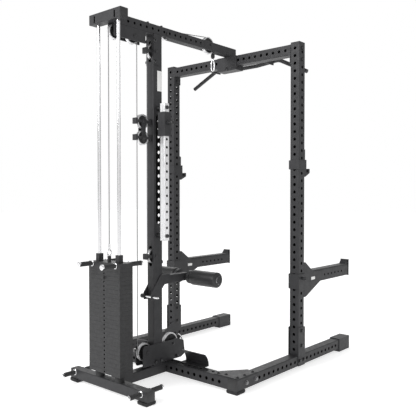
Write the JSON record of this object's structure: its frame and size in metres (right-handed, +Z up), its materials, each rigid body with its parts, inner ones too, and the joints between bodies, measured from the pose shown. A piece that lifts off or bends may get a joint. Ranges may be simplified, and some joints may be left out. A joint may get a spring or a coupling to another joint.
{
  "type": "half rack with weight stack tower",
  "caption": "Freestanding half rack of perforated steel tube with spotter arms, J-cups, pull-up bar and a rear weight-stack tower for lat pulls and low rows.",
  "frame": {"origin": "middle of the bounding box at floor level", "axes": "+Z up, -Y the lifter's side with the spotter arms, +Y the weight stack, +X to the right seen from the front"},
  "size_m": [1.298, 1.952, 2.256],
  "materials": {
    "black_steel": "satin powder coat",
    "chrome": "polished",
    "cast_iron": "black coated",
    "rubber": "matt",
    "black_plastic": "matt",
    "foam": "soft skin over foam",
    "cable_jacket": "nylon-jacketed steel cable",
    "peg_grip": "knurled grip between chrome collars"
  },
  "bodies": {
    "frame": {"base_band_pegs": "peg_grip", "beam_saddle": "black_steel", "block_cables": "cable_jacket", "column": "black_steel", "end_caps": "black_plastic", "foot_rests": "black_steel", "frame_bolts": "black_steel", "front_feet": "black_steel", "guide_rods": "chrome", "head_cross_tube": "black_steel", "joint_plates": "black_steel", "lat_cable": "cable_jacket", "left_base_tube": "black_steel", "left_upright": "black_steel", "low_pulley_housing": "black_steel", "overhead_beam": "black_steel", "pull_up_bar": "black_steel", "pulley_axles": "black_steel", "pulley_side_plates": "black_steel", "rail_mounts": "chrome", "rear_cross_tube": "black_steel", "right_base_tube": "black_steel", "right_upright": "black_steel", "row_cable": "cable_jacket", "rubber_feet": "rubber", "slide_rail": "chrome", "stack_bumpers": "rubber", "top_crossmember": "black_steel", "tower_base": "black_steel", "tower_bolts": "black_steel", "weight_plates": "cast_iron"},
    "stack": {"lifted_plates": "cast_iron", "head_plate": "cast_iron", "stack_band_pegs": "peg_grip", "stack_hook": "chrome", "stack_cable": "cable_jacket"},
    "selector": {"selector_pin": "chrome"},
    "lat_hook": {"lat_hook": "chrome"},
    "row_hook": {"row_hook": "chrome"},
    "block": {"floating_block": "black_steel"},
    "carriage": {"rail_carriage": "black_steel"},
    "carriage_pin": {"carriage_pin": "chrome"},
    "left_j_cup": {"left_j_cup": "black_steel"},
    "right_j_cup": {"right_j_cup": "black_steel"},
    "left_spotter_arm": {"left_spotter_arm": "black_steel"},
    "right_spotter_arm": {"right_spotter_arm": "black_steel"},
    "roller_frame": {"roller_frame": "black_steel"},
    "left_foam_roller": {"left_foam_roller": "foam"},
    "right_foam_roller": {"right_foam_roller": "foam"},
    "roller_pin": {"roller_pin": "chrome"},
    "stack_pulley": {"stack_pulley": "black_plastic"},
    "drop_pulley": {"drop_pulley": "black_plastic"},
    "column_pulley": {"column_pulley": "black_plastic"},
    "beam_pulley": {"beam_pulley": "black_plastic"},
    "lat_pulley": {"lat_pulley": "black_plastic"},
    "upper_floating_pulley": {"upper_floating_pulley": "black_plastic"},
    "lower_floating_pulley": {"lower_floating_pulley": "black_plastic"},
    "anchor_pulley": {"anchor_pulley": "black_plastic"},
    "low_rear_pulley": {"low_rear_pulley": "black_plastic"},
    "low_front_pulley": {"low_front_pulley": "black_plastic"}
  },
  "joints": [
    {"name": "stack_lift", "type": "slide", "parent": "frame", "child": "stack", "axis": [0, 0, 1], "range_m": [0, 1.15], "deforming": ["stack_cable"]},
    {"name": "selector_pull", "type": "slide", "parent": "stack", "child": "selector", "axis": [0, 1, 0], "range_m": [0, 0.06]},
    {"name": "lat_pull", "type": "slide", "parent": "frame", "child": "lat_hook", "axis": [0, 0, -1], "range_m": [0, 1.15]},
    {"name": "block_drop", "type": "slide", "parent": "frame", "child": "block", "axis": [0, 0, -1], "range_m": [0, 0.4], "deforming": ["block_cables"]},
    {"name": "row_pull", "type": "slide", "parent": "frame", "child": "row_hook", "axis": [0, -0.5, 0.866], "range_m": [0, 0.8]},
    {"name": "stack_pulley_spin", "type": "hinge", "parent": "frame", "child": "stack_pulley", "pos_m": [0, 0.79, 2.114], "axis": [1, 0, 0], "continuous": true},
    {"name": "drop_pulley_spin", "type": "hinge", "parent": "frame", "child": "drop_pulley", "pos_m": [0, 0.655, 2.114], "axis": [1, 0, 0], "continuous": true},
    {"name": "column_pulley_spin", "type": "hinge", "parent": "frame", "child": "column_pulley", "pos_m": [0, 0.485, 2.053], "axis": [1, 0, 0], "continuous": true},
    {"name": "beam_pulley_spin", "type": "hinge", "parent": "frame", "child": "beam_pulley", "pos_m": [0, 0.381, 2.181], "axis": [1, 0, 0], "continuous": true},
    {"name": "lat_pulley_spin", "type": "hinge", "parent": "frame", "child": "lat_pulley", "pos_m": [0, -0.048, 2.198], "axis": [1, 0, 0], "continuous": true},
    {"name": "upper_floating_pulley_spin", "type": "hinge", "parent": "block", "child": "upper_floating_pulley", "pos_m": [0, 0.571, 1.612], "axis": [1, 0, 0], "continuous": true},
    {"name": "lower_floating_pulley_spin", "type": "hinge", "parent": "block", "child": "lower_floating_pulley", "pos_m": [0, 0.571, 1.512], "axis": [1, 0, 0], "continuous": true},
    {"name": "anchor_pulley_spin", "type": "hinge", "parent": "frame", "child": "anchor_pulley", "pos_m": [0, 0.485, 0.774], "axis": [1, 0, 0], "continuous": true},
    {"name": "low_rear_pulley_spin", "type": "hinge", "parent": "frame", "child": "low_rear_pulley", "pos_m": [0, 0.561, 0.18], "axis": [1, 0, 0], "continuous": true},
    {"name": "low_front_pulley_spin", "type": "hinge", "parent": "frame", "child": "low_front_pulley", "pos_m": [0, 0.334, 0.195], "axis": [1, 0, 0], "continuous": true},
    {"name": "carriage_slide", "type": "slide", "parent": "frame", "child": "carriage", "axis": [0, 0, 1], "range_m": [-0.6, 0.015]},
    {"name": "carriage_pin_pull", "type": "slide", "parent": "carriage", "child": "carriage_pin", "axis": [-1, 0, 0], "range_m": [0, 0.012], "stiffness_N_per_m": 600},
    {"name": "left_j_cup_height", "type": "slide", "parent": "frame", "child": "left_j_cup", "axis": [0, 0, 1], "range_m": [-0.3, 0.5]},
    {"name": "left_spotter_arm_height", "type": "slide", "parent": "frame", "child": "left_spotter_arm", "axis": [0, 0, 1], "range_m": [-0.15, 0.25]},
    {"name": "right_j_cup_height", "type": "slide", "parent": "frame", "child": "right_j_cup", "axis": [0, 0, 1], "range_m": [-0.3, 0.5]},
    {"name": "right_spotter_arm_height", "type": "slide", "parent": "frame", "child": "right_spotter_arm", "axis": [0, 0, 1], "range_m": [-0.15, 0.25]},
    {"name": "roller_height", "type": "slide", "parent": "frame", "child": "roller_frame", "axis": [0, 0, 1], "range_m": [-0.2, 0.05]},
    {"name": "left_roller_spin", "type": "hinge", "parent": "roller_frame", "child": "left_foam_roller", "pos_m": [0, 0.185, 0.613], "axis": [1, 0, 0], "continuous": true},
    {"name": "right_roller_spin", "type": "hinge", "parent": "roller_frame", "child": "right_foam_roller", "pos_m": [0, 0.185, 0.613], "axis": [1, 0, 0], "continuous": true},
    {"name": "roller_pin_pull", "type": "slide", "parent": "roller_frame", "child": "roller_pin", "axis": [1, 0, 0], "range_m": [0, 0.11]}
  ],
  "couplings": [
    {"joint": "lat_pull", "follows": "stack_lift", "ratio": 1},
    {"joint": "row_pull", "follows": "block_drop", "ratio": 2},
    {"joint": "stack_pulley_spin", "follows": "stack_lift", "rad_per_m": 23.809},
    {"joint": "drop_pulley_spin", "follows": "stack_lift", "rad_per_m": 23.809},
    {"joint": "column_pulley_spin", "follows": "stack_lift", "rad_per_m": 22.727},
    {"joint": "beam_pulley_spin", "follows": "stack_lift", "rad_per_m": 33.333},
    {"joint": "lat_pulley_spin", "follows": "stack_lift", "rad_per_m": 18.182},
    {"joint": "upper_floating_pulley_spin", "follows": "stack_lift", "rad_per_m": -23.809},
    {"joint": "low_front_pulley_spin", "follows": "block_drop", "rad_per_m": -32.258},
    {"joint": "low_rear_pulley_spin", "follows": "block_drop", "rad_per_m": -38.462},
    {"joint": "lower_floating_pulley_spin", "follows": "block_drop", "rad_per_m": -23.809}
  ]
}
